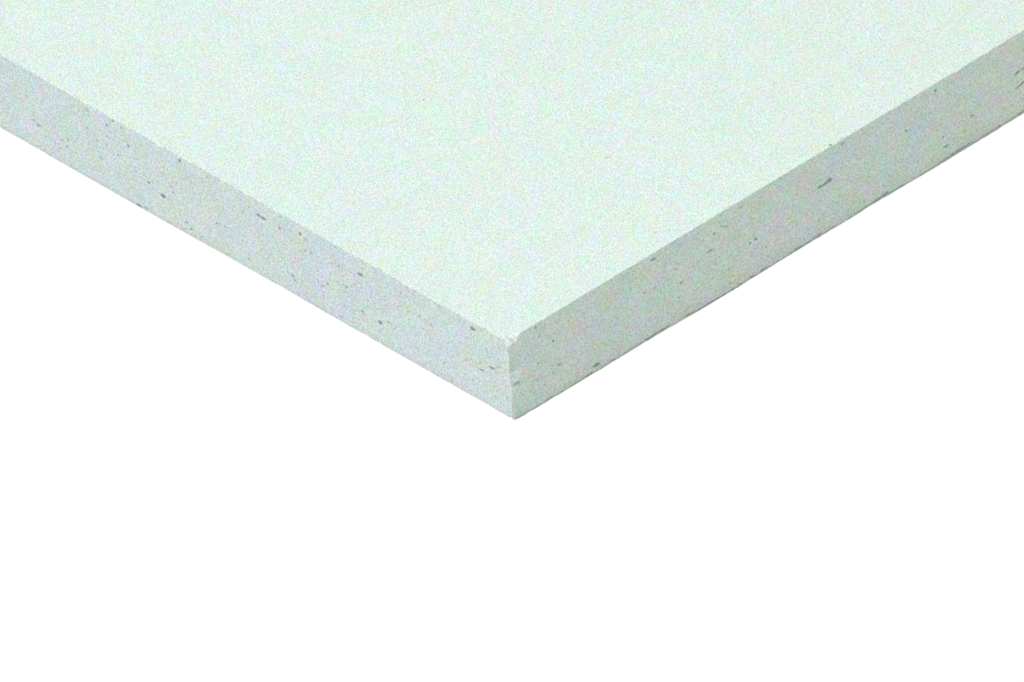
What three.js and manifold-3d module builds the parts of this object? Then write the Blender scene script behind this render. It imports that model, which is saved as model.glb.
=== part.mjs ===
// A drywall sheet of gypsum fibreboard: one homogeneous slab, pressed and then sawn square on all four
// sides, with no paper facing. Units are millimetres and +Z is up. The origin is the centre of the back
// face, X runs along the sheet's length and Y across its width. The sheet lies on its back face.
import * as THREE from "three";
import { mergeVertices } from "three/addons/utils/BufferGeometryUtils.js";
import Module from "manifold-3d";

// The sheet.
const SHEET_LENGTH = 1500;
const SHEET_WIDTH = 1000;
const SHEET_THICKNESS = 12.5;

// Its sawn edges: the narrow flat that wear leaves along every arris, and the rounding of the face
// outline at the four upright corners.
const ARRIS_FLAT = 0.1;
const OUTLINE_CORNER_RADIUS = 0.1;
const OUTLINE_CORNER_SEGMENTS = 3;

// The worn corner, where the front face meets the -X end and the -Y side: a small slanted facet, and how
// far it reaches from the sharp corner along each of the three arrises.
const WEAR_ALONG_SIDE = 1.5;
const WEAR_ALONG_END = 0.65;
const WEAR_DOWN_CORNER = 1.25;

// Chips in the three arrises beside the worn corner, most of them broken out of the back arris of the -Y
// side by the saw. Each is a shallow scoop: its centre's distance along the arris from the corner, its
// length, its height up or down the sawn edge, and its reach over the large face.
const SIDE_BACK_CHIPS = [
  { along: 12, length: 2, height: 0.55, reach: 0.16 },
  { along: 16.5, length: 1.5, height: 0.55, reach: 0.16 },
  { along: 24, length: 5, height: 0.6, reach: 0.16 },
  { along: 43, length: 2.5, height: 0.5, reach: 0.14 },
  { along: 49, length: 3, height: 0.55, reach: 0.16 },
  { along: 52.5, length: 1.5, height: 0.5, reach: 0.14 },
  { along: 63.5, length: 2.2, height: 0.55, reach: 0.2 },
  { along: 71.5, length: 4, height: 0.5, reach: 0.14 },
  { along: 76.5, length: 4.5, height: 0.6, reach: 0.16 },
  { along: 82.5, length: 3, height: 0.5, reach: 0.16 },
  { along: 87.5, length: 1.8, height: 0.5, reach: 0.18 },
];
const SIDE_FRONT_CHIPS = [
  { along: 1.2, length: 1.9, height: 0.5, reach: 0.8 },
  { along: 56.4, length: 1.2, height: 0.22, reach: 0.25 },
  { along: 77.6, length: 2.4, height: 0.26, reach: 0.3 },
];
const END_FRONT_CHIPS = [
  { along: 18.5, length: 4, height: 0.25, reach: 0.3 },
  { along: 29.2, length: 2.2, height: 0.28, reach: 0.3 },
  { along: 66.8, length: 2.4, height: 0.35, reach: 0.35 },
  { along: 80.8, length: 1.4, height: 0.4, reach: 0.4 },
];
const SCOOP_SEGMENTS_ROUND = 12;
const SCOOP_SEGMENTS_ALONG = 8;

// The gypsum's own pale grey-green.
const GYPSUM_COLOUR = 0xe1f2ea;
const GYPSUM_ROUGHNESS = 0.95;

// How far a cutting block reaches past the material it takes away.
const CUTTER_REACH = 10;
// Vertices nearer than this are one.
const WELD_DISTANCE = 1e-4;

const manifold = await Module();
manifold.setup();

const END_X = -SHEET_LENGTH / 2;
const SIDE_Y = -SHEET_WIDTH / 2;

/** A closed geometry as a solid that can be cut. */
function toSolid(geometry) {
  const bare = geometry.clone();
  bare.deleteAttribute("normal");
  bare.deleteAttribute("uv");
  const welded = mergeVertices(bare, WELD_DISTANCE);
  return new manifold.Manifold(
    new manifold.Mesh({
      numProp: 3,
      vertProperties: new Float32Array(welded.attributes.position.array),
      triVerts: new Uint32Array(welded.index.array),
    }),
  );
}

/** A solid as a geometry with one flat normal for each face. */
function toGeometry(solid) {
  const mesh = solid.getMesh();
  const indexed = new THREE.BufferGeometry();
  indexed.setAttribute("position", new THREE.BufferAttribute(mesh.vertProperties, mesh.numProp));
  indexed.setIndex(new THREE.BufferAttribute(mesh.triVerts, 1));
  const faceted = indexed.toNonIndexed();
  faceted.computeVertexNormals();
  return faceted;
}

/** The outline of a flat face: the sheet's plan, less the arris flats, with rounded corners. */
function faceOutline() {
  const x = SHEET_LENGTH / 2 - ARRIS_FLAT;
  const y = SHEET_WIDTH / 2 - ARRIS_FLAT;
  const r = OUTLINE_CORNER_RADIUS;
  const outline = new THREE.Shape();
  outline.absarc(x - r, -y + r, r, -Math.PI / 2, 0);
  outline.absarc(x - r, y - r, r, 0, Math.PI / 2);
  outline.absarc(-x + r, y - r, r, Math.PI / 2, Math.PI);
  outline.absarc(-x + r, -y + r, r, Math.PI, 1.5 * Math.PI);
  outline.closePath();
  return outline;
}

/** The pressed and sawn slab, before any wear. */
function slab() {
  const geometry = new THREE.ExtrudeGeometry(faceOutline(), {
    depth: SHEET_THICKNESS - 2 * ARRIS_FLAT,
    bevelEnabled: true,
    bevelSize: ARRIS_FLAT,
    bevelThickness: ARRIS_FLAT,
    bevelSegments: 1,
    curveSegments: OUTLINE_CORNER_SEGMENTS,
  });
  geometry.translate(0, 0, ARRIS_FLAT);
  return toSolid(geometry);
}

/** A block whose lower face is the worn corner's facet. */
function wornCornerCutter() {
  const alongSide = new THREE.Vector3(END_X + WEAR_ALONG_SIDE, SIDE_Y, SHEET_THICKNESS);
  const alongEnd = new THREE.Vector3(END_X, SIDE_Y + WEAR_ALONG_END, SHEET_THICKNESS);
  const downCorner = new THREE.Vector3(END_X, SIDE_Y, SHEET_THICKNESS - WEAR_DOWN_CORNER);
  const facet = new THREE.Plane().setFromCoplanarPoints(alongSide, alongEnd, downCorner);
  const sheetCentre = new THREE.Vector3(0, 0, SHEET_THICKNESS / 2);
  if (facet.distanceToPoint(sheetCentre) > 0) facet.negate();

  const across = 2 * (WEAR_ALONG_SIDE + WEAR_ALONG_END + WEAR_DOWN_CORNER);
  const block = new THREE.BoxGeometry(across, across, CUTTER_REACH);
  block.translate(0, 0, CUTTER_REACH / 2);
  const outward = new THREE.Quaternion().setFromUnitVectors(new THREE.Vector3(0, 0, 1), facet.normal);
  block.applyQuaternion(outward);
  block.translate(downCorner.x, downCorner.y, downCorner.z);
  return toSolid(block);
}

/** A chip's scoop in an arris of the -Y side, at the given height: a long, low ellipsoid. */
function sideScoop({ along, length, height, reach }, arrisZ) {
  const scoop = new THREE.SphereGeometry(1, SCOOP_SEGMENTS_ROUND, SCOOP_SEGMENTS_ALONG);
  scoop.rotateZ(Math.PI / 2);
  scoop.scale(length / 2, reach, height);
  scoop.translate(END_X + along, SIDE_Y, arrisZ);
  return toSolid(scoop);
}

/** The same in an arris of the -X end. */
function endScoop({ along, length, height, reach }, arrisZ) {
  const scoop = new THREE.SphereGeometry(1, SCOOP_SEGMENTS_ROUND, SCOOP_SEGMENTS_ALONG);
  scoop.scale(reach, length / 2, height);
  scoop.translate(END_X, SIDE_Y + along, arrisZ);
  return toSolid(scoop);
}

/** The whole sheet: the slab less its worn corner and its chips. */
function board() {
  const cutters = [
    wornCornerCutter(),
    ...SIDE_BACK_CHIPS.map((chip) => sideScoop(chip, 0)),
    ...SIDE_FRONT_CHIPS.map((chip) => sideScoop(chip, SHEET_THICKNESS)),
    ...END_FRONT_CHIPS.map((chip) => endScoop(chip, SHEET_THICKNESS)),
  ];
  const solid = cutters.reduce((left, cutter) => left.subtract(cutter), slab());
  const gypsum = new THREE.MeshStandardMaterial({
    color: GYPSUM_COLOUR,
    roughness: GYPSUM_ROUGHNESS,
    metalness: 0,
  });
  const mesh = new THREE.Mesh(toGeometry(solid), gypsum);
  mesh.name = "board";
  return mesh;
}

const drywallSheet = new THREE.Group();
drywallSheet.add(board());

export default drywallSheet;
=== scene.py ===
"""Looks of the drywall sheet: a gypsum fibreboard slab lying on a pale floor, seen close at one corner."""

import math
import random

import bpy
import numpy as np
from mathutils import Matrix, Vector, noise


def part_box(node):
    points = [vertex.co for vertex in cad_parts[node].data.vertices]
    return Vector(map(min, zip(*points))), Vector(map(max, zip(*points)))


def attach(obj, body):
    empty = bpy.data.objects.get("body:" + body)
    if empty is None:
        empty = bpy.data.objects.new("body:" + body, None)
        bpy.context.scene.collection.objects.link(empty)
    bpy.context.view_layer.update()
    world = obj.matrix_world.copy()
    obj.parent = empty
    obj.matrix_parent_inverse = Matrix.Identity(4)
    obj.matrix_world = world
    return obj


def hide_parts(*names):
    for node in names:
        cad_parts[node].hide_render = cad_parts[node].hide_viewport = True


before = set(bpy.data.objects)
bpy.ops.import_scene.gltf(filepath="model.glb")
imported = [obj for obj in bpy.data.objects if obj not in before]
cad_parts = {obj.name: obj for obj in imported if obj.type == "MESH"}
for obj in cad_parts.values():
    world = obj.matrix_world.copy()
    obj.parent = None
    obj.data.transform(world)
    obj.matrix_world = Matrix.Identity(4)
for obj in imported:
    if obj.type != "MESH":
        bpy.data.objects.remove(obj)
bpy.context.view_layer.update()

# All sizes below are millimetres unless they say otherwise; the meshes are made in metres.
MM = 0.001
BOARD_LOW, BOARD_HIGH = (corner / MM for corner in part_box("board"))
LENGTH = BOARD_HIGH.x - BOARD_LOW.x
WIDTH = BOARD_HIGH.y - BOARD_LOW.y
THICKNESS = BOARD_HIGH.z - BOARD_LOW.z
SEED = 12

# Up to these distances from the near corner, which take in all that the photograph shows, the flecks, the
# chips and the dark flakes of painted shade along the back arris are placed one by one. Past them they are
# left to chance.
SIDE_HAND_PLACED = 91.0
END_HAND_PLACED = 101.0
FACE_HAND_PLACED = 100.0
BACK_ARRIS_HAND_PLACED = 91.0

# A unit direction points mostly along an axis when its part along that axis passes this.
MOSTLY = 0.5

# How round the outline's upright corners are.
CORNER_RADIUS = 0.06

# Columns of vertices round the outline: how many there are, about how far apart they stand near the near
# corner, how far from it that goes on, how far apart at all four corners, how fast that grows, and its limit.
COLUMN_COUNT = 3072
NEAR_STEP = 0.2
NEAR_REACH = 108.0
CORNER_STEP = 0.05
STEP_GROWTH = 0.12
FAR_STEP = 2.6
# How finely the outline is sampled to place them.
STEP_SAMPLES = 60000

# Rows of vertices up an edge face, as shares of the height between its two arrises, and the strips of
# faces round each arris.
EDGE_ROWS = (0.02, 0.06, 0.12, 0.2, 0.3, 0.45, 0.6, 0.75, 0.85, 0.92, 0.96)
ARRIS_STEPS = 3

# Rings of vertices on the two large faces, as distances in from the outline. Each of the later rings has
# half the columns of the one before it.
FULL_RINGS = (1.0, 1.6)
HALVING_RINGS = (3.0, 7.0, 16.0, 36.0, 80.0)

# A noise that shapes the edges is given as its wavelength and a salt, which sets it apart from the others.

# An edge face lies this far inside the solid's outline, so that flecks stand inside it too, and the saw
# left it this much out of true: in a long wave, which changes less up the sheet than along it, and in one a
# sixth as long, which is this share as deep.
EDGE_INSET = 0.018
SAW_WAVE = 0.04
SAW_WAVE_NOISE = (14.0, 3.1)
SAW_WAVE_RISE = 0.15
FINE_WAVE_NOISE = (SAW_WAVE_NOISE[0] / 6, 8.7)
FINE_WAVE_SHARE = 0.3

# The arrises of the sides and of the ends: height on the edge face, reach over the large face, and
# roundness, where 0 is a flat and 1 a full curve.
SIDE_BACK_ARRIS = (0.35, 0.155, 0.4)
END_BACK_ARRIS = (0.11, 0.11, 0.3)
SIDE_FRONT_ARRIS = (0.06, 0.06, 0.7)
END_FRONT_ARRIS = (0.08, 0.14, 0.6)
# Before wear and chips, they vary by this much with a coarse and a fine noise, down to the least size.
ARRIS_SPREAD = 0.5
BACK_ARRIS_NOISES = ((5.0, 20.0), (0.9, 25.0))
FRONT_ARRIS_NOISES = ((5.0, 47.0), (0.9, 52.0))
LEAST_ARRIS = 0.02
# The ends' front arrises are ragged besides: by how much, and the noises of their height and reach.
END_RAGGEDNESS = 0.18
RAGGED_NOISES = ((0.6, 71.0), (0.7, 73.0))

# The worn corner's facet, as in the solid: how far it reaches along the side's arris, the end's arris and
# the upright arris from the sharp corner. Then how rough the wear is, and its noise.
WORN_CORNER = (1.5, 0.65, 1.25)
WEAR_ROUGHNESS = 0.15
WEAR_NOISE = (0.8, 60.0)
# Dents beside the near upright arris: the axis that they push it along, their height up the sheet, their
# spread up it and along it, and their depth.
CORNER_DENTS = (("y", 7.0, 1.4, 1.5, 0.25), ("x", 10.2, 0.9, 1.2, 0.15), ("y", 0.0, 0.4, 0.6, 0.2))

# Chips: distance from the near corner, length, height on the edge face, reach over the large face.
SIDE_BACK_CHIPS = (
    (12.0, 2.0, 0.55, 0.08), (16.5, 1.5, 0.55, 0.1), (24.0, 5.0, 0.6, 0.14), (43.0, 2.5, 0.5, 0.1),
    (49.0, 3.0, 0.55, 0.15), (52.5, 1.5, 0.5, 0.14), (63.5, 2.2, 0.55, 0.24), (71.5, 4.0, 0.5, 0.14),
    (76.5, 4.5, 0.6, 0.16), (82.5, 3.0, 0.5, 0.16), (87.5, 1.8, 0.5, 0.18),
)
SIDE_FRONT_CHIPS = (
    (1.2, 2.0, 0.75, 0.8), (4.3, 0.9, 0.14, 0.2), (34.0, 0.9, 0.17, 0.2), (56.4, 1.2, 0.22, 0.25),
    (77.6, 2.4, 0.26, 0.3), (80.2, 1.4, 0.16, 0.2), (82.9, 1.0, 0.18, 0.2),
)
END_BACK_CHIPS = ((1.0, 0.8, 0.3, 0.26), (28.8, 2.4, 0.24, 0.22), (45.0, 3.0, 0.24, 0.22))
END_FRONT_CHIPS = (
    (18.5, 4.0, 0.25, 0.3), (29.2, 2.2, 0.28, 0.3), (66.8, 2.4, 0.35, 0.35), (80.8, 1.4, 0.4, 0.4),
)
# How worn the back arrises of the -Y side and of the -X end are, as distances from the near corner and
# multiples of their plain size.
SIDE_BACK_WEAR = (
    (0.0, 1.1), (18.0, 0.9), (21.0, 1.7), (24.0, 1.2), (28.0, 1.0), (30.3, 0.02), (39.0, 0.02), (41.0, 1.0),
    (48.0, 0.9), (52.0, 1.8), (56.0, 1.0), (60.0, 1.5), (66.0, 1.4), (70.0, 0.9), (84.0, 1.4), (90.0, 1.6),
)
END_BACK_WEAR = (
    (0.0, 0.2), (3.0, 0.2), (6.5, 1.3), (10.5, 0.3), (15.0, 0.8), (38.0, 0.9), (42.0, 1.6), (47.0, 1.4),
    (57.0, 1.2), (61.0, 0.2), (65.0, 0.02), (92.0, 0.02), (95.0, 0.7), (99.0, 0.4),
)
# Past those that are placed, the back arrises break out where a coarse noise and this share of a fine one
# together pass this level, and grow by this much of the excess in height and in reach.
BREAK_OUT_NOISE = (4.0, 31.0)
FINE_BREAK_OUT_NOISE = (1.7, 33.0)
FINE_BREAK_OUT_SHARE = 0.5
BREAK_OUT_LEVEL = 0.15
BREAK_OUT_GROWTH = (0.5, 0.2)

# Paper flecks of the -Y side: distance from the -X end, height, length, thickness, tilt in degrees, and
# how dark, from 0 to 1.
SIDE_FLECKS = (
    # The first two are painted shade in the creases of the worn corner.
    (0.9, 12.1, 0.8, 0.2, -20, 0.3), (1.1, 11.35, 0.5, 0.3, 0, 0.3), (0.95, 5.45, 1.5, 0.48, -5, 0.65),
    (4.9, 11.9, 0.4, 0.35, 0, 0.7), (5.4, 10.35, 0.5, 0.4, 0, 0.55), (7.5, 8.4, 0.5, 0.4, -25, 0.8),
    (8.0, 4.5, 0.9, 0.4, -5, 0.65), (4.65, 6.5, 0.45, 0.35, 0, 0.5), (6.8, 3.85, 0.45, 0.35, 0, 0.5),
    (14.0, 1.15, 1.45, 0.58, 0, 1.0), (12.8, 11.2, 0.35, 0.25, 0, 0.4), (11.0, 7.6, 0.4, 0.35, 0, 0.35),
    (13.4, 7.4, 1.3, 0.25, -15, 0.35), (15.0, 7.0, 1.0, 0.2, 0, 0.3), (25.0, 11.55, 0.95, 0.48, 0, 1.0),
    (23.0, 7.4, 0.6, 0.35, -20, 0.6), (24.8, 7.2, 0.45, 0.4, 0, 0.5), (29.1, 5.7, 0.8, 0.45, -5, 0.6),
    (28.5, 8.2, 0.35, 0.4, 0, 0.5), (28.5, 3.7, 0.45, 0.3, -10, 0.55), (29.8, 1.5, 0.8, 0.2, 0, 0.45),
    (35.3, 9.9, 0.5, 0.35, -40, 0.75), (36.7, 10.3, 1.0, 0.42, -15, 0.4), (37.4, 10.0, 0.8, 0.3, -20, 0.35),
    (34.3, 7.8, 1.2, 0.4, -5, 0.6), (32.1, 7.1, 0.8, 0.25, 20, 0.4), (37.0, 3.5, 0.4, 0.5, 0, 0.6),
    (37.0, 1.25, 0.5, 0.35, -15, 0.6), (40.9, 5.4, 0.45, 0.35, 0, 0.75), (41.9, 5.5, 0.8, 0.4, -5, 1.0),
    (43.4, 3.4, 0.45, 0.35, 0, 0.5), (40.0, 11.5, 1.3, 0.42, 0, 0.4), (45.1, 10.2, 0.45, 0.35, 0, 0.4),
    (47.1, 7.3, 0.3, 0.3, 0, 0.4), (53.2, 7.5, 0.7, 0.5, 0, 1.0), (54.1, 7.5, 1.7, 0.42, 6, 1.0),
    (54.9, 7.6, 1.0, 0.7, -10, 1.0), (53.2, 8.5, 0.6, 0.25, -20, 0.35), (52.3, 10.4, 0.35, 0.3, 0, 0.35),
    (68.3, 8.1, 0.6, 0.35, -30, 0.8), (63.3, 10.0, 0.3, 0.35, 0, 0.35), (57.7, 11.8, 1.0, 0.45, 0, 0.5),
    (73.8, 11.4, 0.55, 0.45, 0, 1.0), (74.2, 3.9, 0.6, 0.4, 0, 0.6), (74.5, 2.3, 1.2, 0.35, -5, 0.9),
    (79.3, 4.5, 0.7, 0.4, -15, 0.9), (73.4, 5.3, 0.6, 0.3, 0, 0.35), (80.5, 5.6, 0.6, 0.35, 0, 0.35),
    (87.5, 6.75, 1.2, 0.45, 14, 1.0), (88.5, 6.85, 0.9, 0.45, 0, 0.6), (88.1, 4.8, 2.6, 0.42, 14, 1.0),
)
# The same for the -X end, where the distance is from the -Y side.
END_FLECKS = (
    (6.6, 11.35, 1.3, 0.7, -8, 1.0), (3.65, 6.64, 1.4, 0.45, -8, 1.0), (2.35, 7.4, 1.2, 0.45, -25, 0.4),
    (5.8, 5.3, 1.2, 0.35, -5, 0.9), (8.6, 5.6, 0.6, 0.3, 0, 0.6), (5.9, 6.5, 0.5, 0.35, 0, 0.5),
    (1.3, 3.0, 0.5, 0.38, 0, 0.5), (11.3, 4.9, 0.5, 0.38, 0, 0.5), (13.3, 3.0, 0.45, 0.4, 0, 0.6),
    (12.1, 0.7, 0.4, 0.4, 0, 0.5), (15.0, 8.1, 0.5, 0.38, 0, 0.6), (17.2, 8.4, 0.5, 0.35, 0, 0.45),
    (7.8, 2.8, 0.5, 0.4, 0, 0.5), (19.4, 8.1, 0.5, 0.3, 0, 0.65), (20.5, 10.5, 0.5, 0.35, 0, 0.6),
    (21.0, 9.7, 0.4, 0.5, 0, 0.4), (13.0, 12.0, 0.8, 0.25, 0, 0.55), (19.2, 12.0, 0.5, 0.3, 0, 0.65),
    (23.3, 4.4, 0.6, 0.3, 0, 0.6), (23.7, 4.5, 0.5, 0.35, 0, 0.85), (25.45, 3.65, 0.95, 0.68, -15, 1.0),
    (28.35, 9.75, 1.2, 0.6, -8, 1.0), (28.8, 3.8, 0.6, 0.4, 0, 0.75), (26.5, 0.72, 0.8, 0.3, 0, 0.4),
    (29.7, 7.5, 0.5, 0.35, 0, 0.55), (30.3, 9.2, 0.5, 0.3, 0, 0.6), (32.0, 9.2, 0.4, 0.35, -20, 0.4),
    (32.6, 9.1, 0.5, 0.35, -20, 0.85), (34.0, 9.0, 0.5, 0.3, 0, 0.4), (31.5, 6.4, 0.8, 0.35, -8, 0.5),
    (35.3, 5.1, 0.5, 0.4, -10, 0.8), (30.7, 2.6, 0.5, 0.3, 0, 0.55), (32.3, 3.0, 0.4, 0.3, 0, 0.5),
    (36.3, 4.3, 0.8, 0.4, 0, 0.6), (37.2, 4.6, 0.5, 0.4, 0, 0.55), (36.3, 3.3, 0.5, 0.35, -20, 0.4),
    (33.4, 0.9, 1.2, 0.25, 0, 0.55), (32.8, 12.0, 0.5, 0.25, 0, 0.6), (38.0, 8.7, 0.8, 0.35, -8, 0.6),
    (39.1, 8.6, 0.5, 0.38, 0, 0.6), (38.75, 10.5, 1.1, 0.6, 0, 0.4), (39.75, 10.85, 0.8, 0.6, -25, 1.0),
    (43.9, 9.8, 0.55, 0.45, 0, 0.95), (43.4, 11.8, 0.6, 0.25, -15, 0.6), (47.0, 9.95, 1.25, 0.55, -8, 1.0),
    (47.95, 10.0, 0.85, 0.52, -8, 1.0), (42.4, 3.1, 0.9, 0.58, 0, 0.65), (42.0, 2.55, 0.7, 0.42, 0, 0.6),
    (40.1, 6.6, 0.4, 0.3, 0, 0.5), (51.0, 9.2, 0.4, 0.5, 0, 0.5), (51.1, 1.82, 0.5, 0.42, 0, 0.55),
    (50.8, 5.6, 0.4, 0.35, 0, 0.4), (49.1, 3.6, 0.4, 0.35, 0, 0.4), (55.2, 4.9, 0.5, 0.4, -20, 0.5),
    (56.8, 4.7, 0.6, 0.5, 0, 0.5), (57.6, 11.45, 0.6, 0.35, 0, 0.55), (62.9, 11.7, 0.65, 0.55, -10, 1.0),
    (62.8, 8.9, 0.35, 0.35, 0, 0.4), (67.3, 4.15, 1.25, 0.6, -8, 1.0), (70.0, 5.0, 0.7, 0.4, -20, 0.95),
    (71.2, 0.5, 0.9, 0.35, 0, 0.5), (73.3, 9.3, 0.55, 0.55, 0, 0.95), (65.2, 5.7, 0.45, 0.4, 0, 0.55),
    (65.45, 6.5, 0.55, 0.45, 0, 0.6), (63.0, 2.0, 0.5, 0.35, 0, 0.75), (62.3, 1.3, 0.5, 0.4, 0, 0.8),
    (60.4, 0.95, 0.8, 0.3, -20, 0.6), (75.9, 12.0, 0.7, 0.3, 0, 0.75), (77.3, 10.7, 0.55, 0.4, -20, 0.85),
    (77.5, 8.9, 0.5, 0.4, 0, 0.65), (75.7, 6.7, 0.6, 0.35, -15, 0.8), (77.8, 7.4, 0.7, 0.3, 0, 0.55),
    (81.0, 11.35, 1.1, 0.6, -10, 0.4), (81.5, 8.4, 0.5, 0.4, 0, 0.65), (80.8, 10.6, 0.4, 0.3, 0, 0.45),
    (79.7, 7.2, 0.7, 0.25, 0, 0.5), (79.3, 4.6, 0.8, 0.3, 0, 0.65), (85.9, 4.5, 0.6, 0.35, 0, 0.65),
    (87.1, 3.9, 0.7, 0.4, 0, 0.6), (86.3, 3.2, 0.7, 0.35, 0, 0.55), (72.65, 0.24, 1.4, 0.45, 0, 1.0),
    (72.4, 5.7, 0.5, 0.35, 0, 0.5), (74.35, 11.65, 0.55, 0.42, 0, 0.5), (91.7, 4.12, 1.3, 0.62, -8, 0.65),
    (92.6, 4.5, 0.55, 0.35, -15, 0.6), (93.4, 8.0, 0.7, 0.35, 0, 0.4), (92.3, 5.9, 0.5, 0.3, 0, 0.5),
)
# The same for the front face, where both distances are from the near corner, along X and along Y.
FACE_FLECKS = (
    (28.8, 48.0, 0.5, 0.45, 10, 0.5), (35.4, 20.2, 0.5, 0.45, 0, 0.3), (2.0, 88.3, 0.45, 0.35, 0, 0.2),
    (39.8, 34.9, 0.45, 0.4, 0, 0.2), (4.1, 29.1, 0.35, 0.35, 0, 0.2), (35.7, 38.8, 0.4, 0.35, 0, 0.2),
    (55.9, 0.25, 0.45, 0.5, 0, 1.0), (57.75, 0.2, 0.45, 0.3, 0, 0.6), (58.4, 0.15, 0.35, 0.15, 0, 0.3),
)

# Flecks scattered over the sides, the ends and the large faces: how many there are in a square centimetre,
# and how drawn out they are.
SIDE_SCATTER = (4.5, (1.3, 2.8))
END_SCATTER = (8.0, (1.0, 1.9))
FACE_SCATTER = (0.07, (1.0, 1.8))
MM2_PER_CM2 = 100
# Most are small: their share, and the sizes of those and of the others.
SMALL_SHARE = 0.75
SMALL_SIZES = (0.28, 0.55)
LARGE_SIZES = (0.55, 0.85)
# How thick one is for its size, and its tilt in degrees.
SCATTERED_THICKNESS = 0.8
SCATTERED_TILT = (-20.0, 12.0)
# How dark one is: this at the plain size, up to this much more by chance, and this much more for each
# millimetre above the plain size.
BASE_DARKNESS = 0.3
CHANCE_DARKNESS = 0.45
DARKNESS_PER_MM = 0.6
PLAIN_SIZE = 0.3
# How far they keep from the edges of an edge face, but for the edge that they begin from, and from those of
# a large face.
EDGE_MARGIN = 0.7
FACE_MARGIN = 2.0

# Painted shade along the -Y side's back arris, laid as dark flakes that stand in for the shade line under it:
# from one distance to another, from one height to another, and how dark.
SHADE_FLAKE_SPANS = (
    (1.1, 2.0, 0.28, 0.45, 0.5), (5.0, 5.8, 0.32, 0.5, 0.5), (5.8, 6.5, 0.28, 0.52, 0.65),
    (6.9, 8.1, 0.24, 0.48, 0.6), (10.0, 11.7, 0.3, 0.5, 0.5), (11.9, 13.0, 0.26, 0.56, 0.75),
    (15.2, 15.9, 0.3, 0.5, 0.5), (16.0, 16.8, 0.38, 0.66, 0.8), (21.1, 22.0, 0.38, 0.58, 0.5),
    (22.2, 23.4, 0.36, 0.64, 0.85), (23.5, 24.8, 0.42, 0.72, 0.8), (24.8, 26.0, 0.38, 0.68, 0.85),
    (26.1, 26.9, 0.32, 0.5, 0.6), (29.1, 30.7, 0.22, 0.56, 0.95), (31.0, 31.9, 0.06, 0.42, 1.0),
    (32.0, 33.1, 0.0, 0.38, 1.0), (33.2, 34.2, 0.0, 0.38, 1.0), (34.3, 35.4, 0.0, 0.32, 0.95),
    (35.4, 38.2, 0.0, 0.32, 0.85), (38.3, 39.4, 0.14, 0.45, 0.85), (39.5, 40.9, 0.2, 0.5, 0.6),
    (42.0, 43.4, 0.22, 0.52, 0.75), (43.4, 44.0, 0.25, 0.5, 0.55), (44.1, 44.9, 0.28, 0.5, 0.45),
    (47.1, 48.0, 0.4, 0.6, 0.5), (48.0, 48.9, 0.38, 0.68, 0.85), (48.9, 50.6, 0.34, 0.58, 0.6),
    (51.1, 51.8, 0.45, 0.7, 0.5), (51.8, 52.5, 0.48, 0.76, 0.8), (53.0, 54.8, 0.42, 0.64, 0.45),
    (58.9, 59.6, 0.46, 0.68, 0.45), (60.0, 60.9, 0.44, 0.66, 0.5), (61.0, 62.0, 0.5, 0.76, 0.6),
    (62.1, 63.0, 0.55, 0.84, 0.65), (63.0, 64.0, 0.54, 0.88, 0.85), (64.0, 64.9, 0.5, 0.72, 0.45),
    (66.0, 66.9, 0.46, 0.66, 0.45), (71.0, 71.8, 0.32, 0.54, 0.55), (72.2, 73.0, 0.44, 0.64, 0.5),
    (73.0, 74.0, 0.4, 0.66, 0.75), (74.0, 75.0, 0.46, 0.74, 0.6), (75.0, 76.0, 0.46, 0.8, 0.8),
    (76.0, 77.2, 0.48, 0.84, 0.85), (77.2, 78.3, 0.5, 0.8, 0.65), (78.3, 79.0, 0.48, 0.68, 0.5),
    (80.5, 81.3, 0.48, 0.7, 0.6), (81.4, 82.6, 0.4, 0.7, 0.65), (82.7, 83.6, 0.46, 0.74, 0.75),
    (83.6, 84.5, 0.5, 0.7, 0.5), (84.5, 85.3, 0.46, 0.72, 0.7), (85.3, 86.6, 0.54, 0.76, 0.5),
    (86.7, 88.2, 0.54, 0.8, 0.7), (88.2, 89.5, 0.52, 0.78, 0.5),
)
# The same elsewhere: how long the gaps and the spans are, how far they keep from the corners, how far above
# the back face they begin, the range of their height, and how dark they are.
SHADE_FLAKE_GAP = (1.5, 9.0)
SHADE_FLAKE_LENGTH = (0.7, 4.0)
SHADE_FLAKE_MARGIN = 1.0
SHADE_FLAKE_START = 0.18
SHADE_FLAKE_HEIGHT = (0.22, 0.45)
SHADE_FLAKE_DARKNESS = 0.7
# The flakes of a span: how long their places are, how far the last place may reach past the span's end, how
# tall they are as a share of the span, how long as a share of their place, and how much darker or lighter
# than the span they may be.
SHADE_PIECE_LENGTH = (0.5, 1.0)
SHADE_PIECE_PAST_END = 0.2
SHADE_PIECE_HEIGHT = (0.75, 1.1)
SHADE_PIECE_OVERLAP = 1.3
SHADE_PIECE_SPREAD = 0.2

# A fleck is a flake with this many corners, each at this share of its plain reach. Its core is this share
# of the flake and stands this proud of the board, its rim stands less proud, and its root lies this deep.
FLECK_CORNERS = 8
FLECK_RAGGEDNESS = (0.85, 1.12)
CORE_SIZE = 0.6
CORE_PROUD = 0.015
RIM_PROUD = CORE_PROUD / 2
FLECK_ROOT = 0.12
# No fleck comes nearer than this to the outside of the solid's box.
LEAST_INSET = 0.003
# The darkness from which a fleck's core takes the mid tone, and the dark one. Its rim is a tone lighter.
TONE_STEPS = (0.45, 0.7)

# The large faces lie this far inside the solid, so that flecks stand inside it too.
FACE_INSET = 0.02

# Colours, linear.
WHITE = (1.0,) * 3
GYPSUM = (0.7552, 0.8913, 0.8176)
SIDE_GYPSUM = (0.7727, 0.8985, 0.815)
END_GYPSUM = (0.771, 0.889, 0.827)
# The ends' front arrises take this darker copy of the gypsum: painted shade that dulls the light their
# rounded arris catches.
SHADED_ARRIS_GYPSUM = (0.72, 0.832, 0.77)
# How much each channel counts in a colour's brightness.
LUMINANCE = (0.3, 0.59, 0.11)
# The middle of a noise that runs from 0 to 1.
MIDDLE = (0.5,) * 3
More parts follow.
